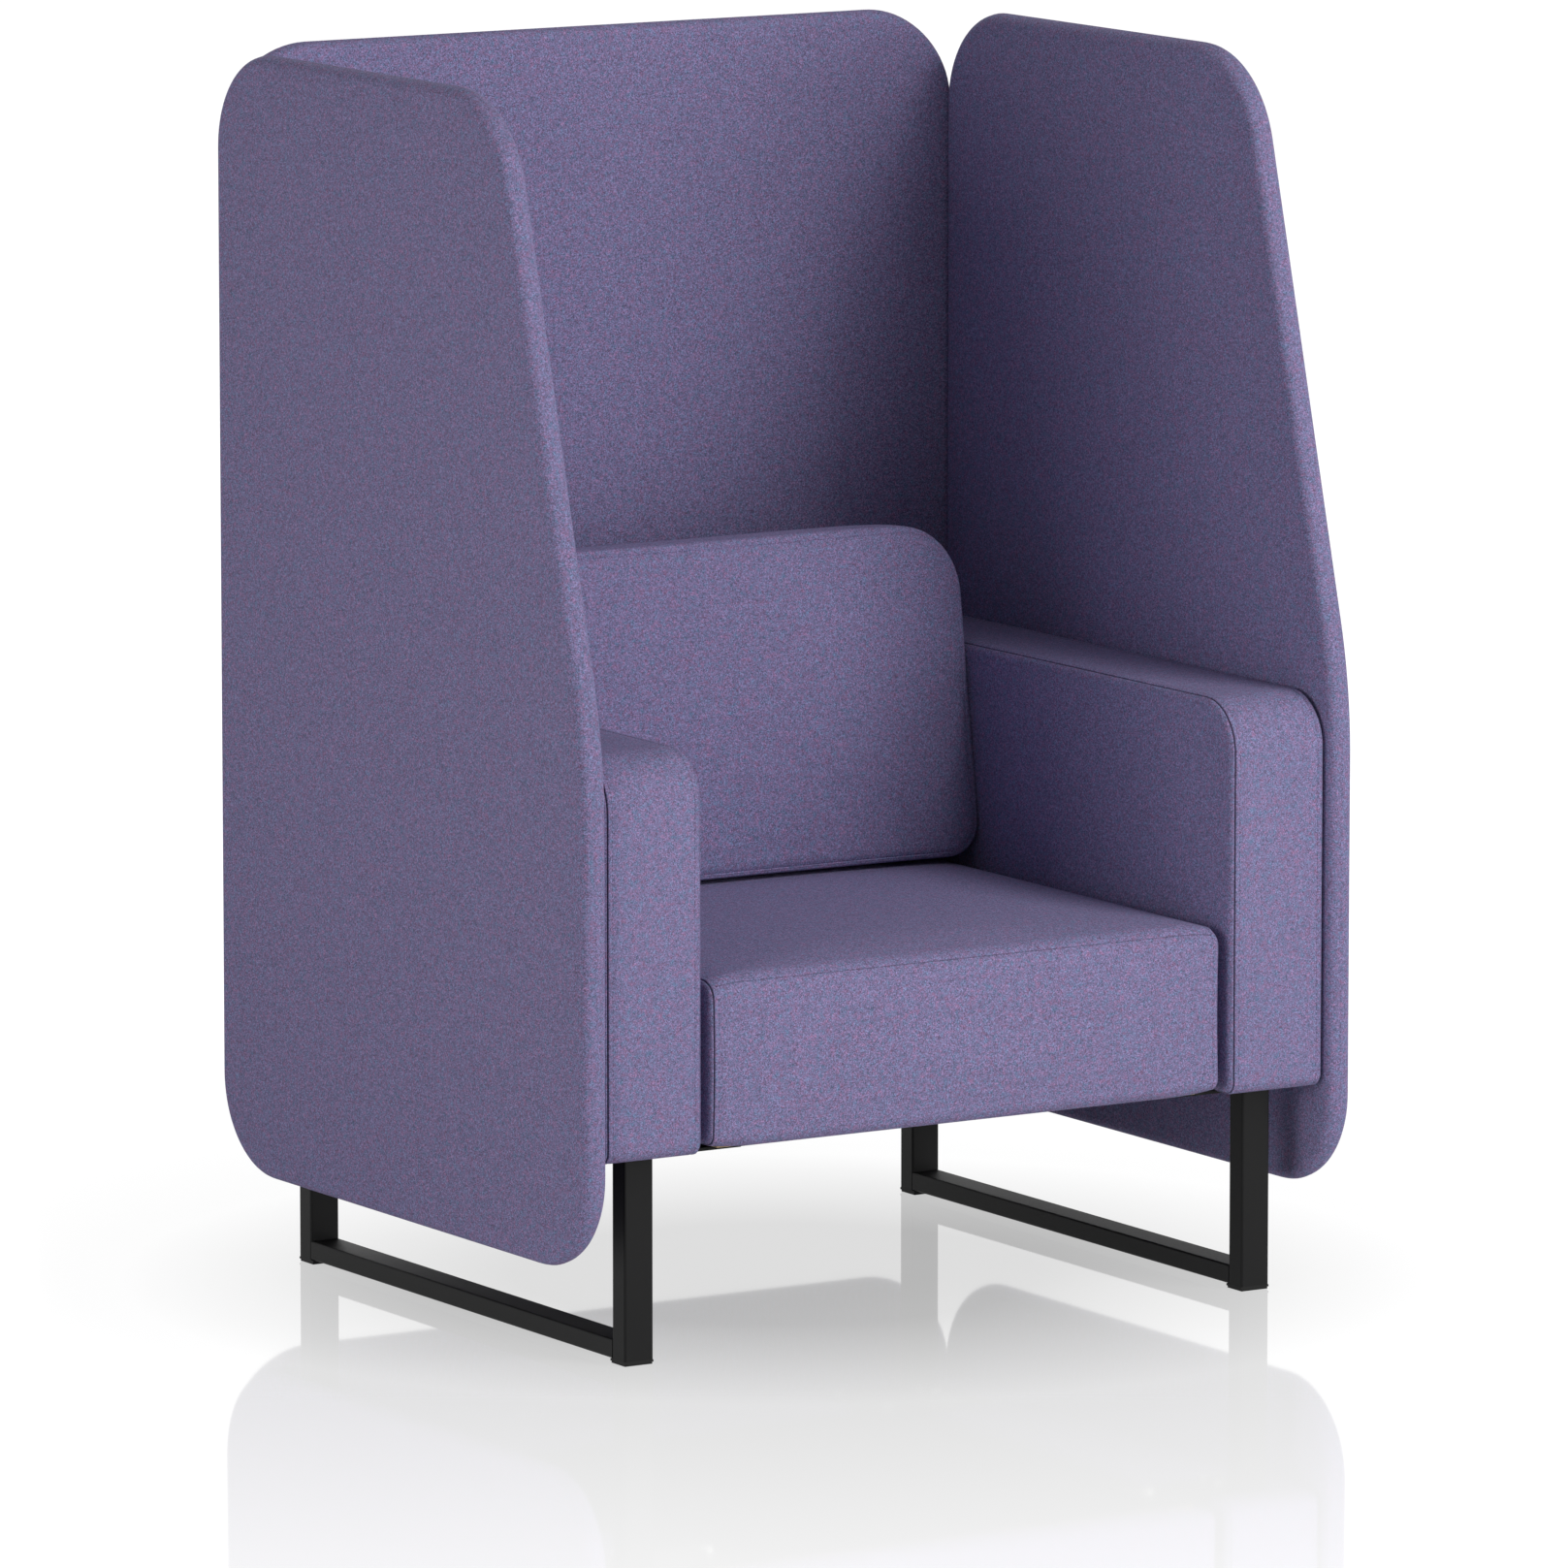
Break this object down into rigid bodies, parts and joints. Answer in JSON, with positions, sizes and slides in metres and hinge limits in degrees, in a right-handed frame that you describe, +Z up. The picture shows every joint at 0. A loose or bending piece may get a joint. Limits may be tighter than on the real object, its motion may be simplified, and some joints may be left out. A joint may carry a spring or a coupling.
{
  "type": "privacy booth sofa",
  "caption": "Upholstered single sofa with broad arms, loose back cushion and tall padded privacy panels on three sides, standing on black tube sled frames.",
  "frame": {"origin": "on the floor, under the middle of the booth's width and depth", "axes": "+Z up, +X to the right as seen from the front, +Y from the seat's front towards the back panel"},
  "size_m": [1.013, 0.851, 1.4],
  "materials": {
    "upholstery": "heathered purple-blue woven wool, matt",
    "panel_board": "bare particle board",
    "plywood": "bare birch plywood",
    "timber": "planed softwood",
    "webbing": "woven elastic webbing, matt",
    "dust_cloth": "black non-woven cloth",
    "black_steel": "satin black powder coat",
    "glide_plastic": "moulded black",
    "zinc_steel": "zinc plated"
  },
  "bodies": {
    "root": {"back_cushion": "upholstery", "back_panel_board": "panel_board", "back_panel_cover": "upholstery", "backrest_bolts": "zinc_steel", "backrest_cover": "upholstery", "backrest_frame": "plywood", "backrest_inserts": "zinc_steel", "backrest_spacers": "zinc_steel", "left_arm_cover": "upholstery", "left_arm_frame": "plywood", "left_floor_rail": "black_steel", "left_front_glide": "glide_plastic", "left_front_leg": "black_steel", "left_front_plate": "black_steel", "left_panel_board": "panel_board", "left_panel_cover": "upholstery", "left_rear_glide": "glide_plastic", "left_rear_leg": "black_steel", "left_rear_plate": "black_steel", "leg_bolts": "zinc_steel", "leg_inserts": "zinc_steel", "panel_bolts": "zinc_steel", "panel_inserts": "zinc_steel", "panel_spacers": "zinc_steel", "right_arm_cover": "upholstery", "right_arm_frame": "plywood", "right_floor_rail": "black_steel", "right_front_glide": "glide_plastic", "right_front_leg": "black_steel", "right_front_plate": "black_steel", "right_panel_board": "panel_board", "right_panel_cover": "upholstery", "right_rear_glide": "glide_plastic", "right_rear_leg": "black_steel", "right_rear_plate": "black_steel", "seat_cushion": "upholstery", "seat_dust_cover": "dust_cloth", "seat_frame": "timber", "seat_webbing": "webbing"}
  },
  "joints": []
}
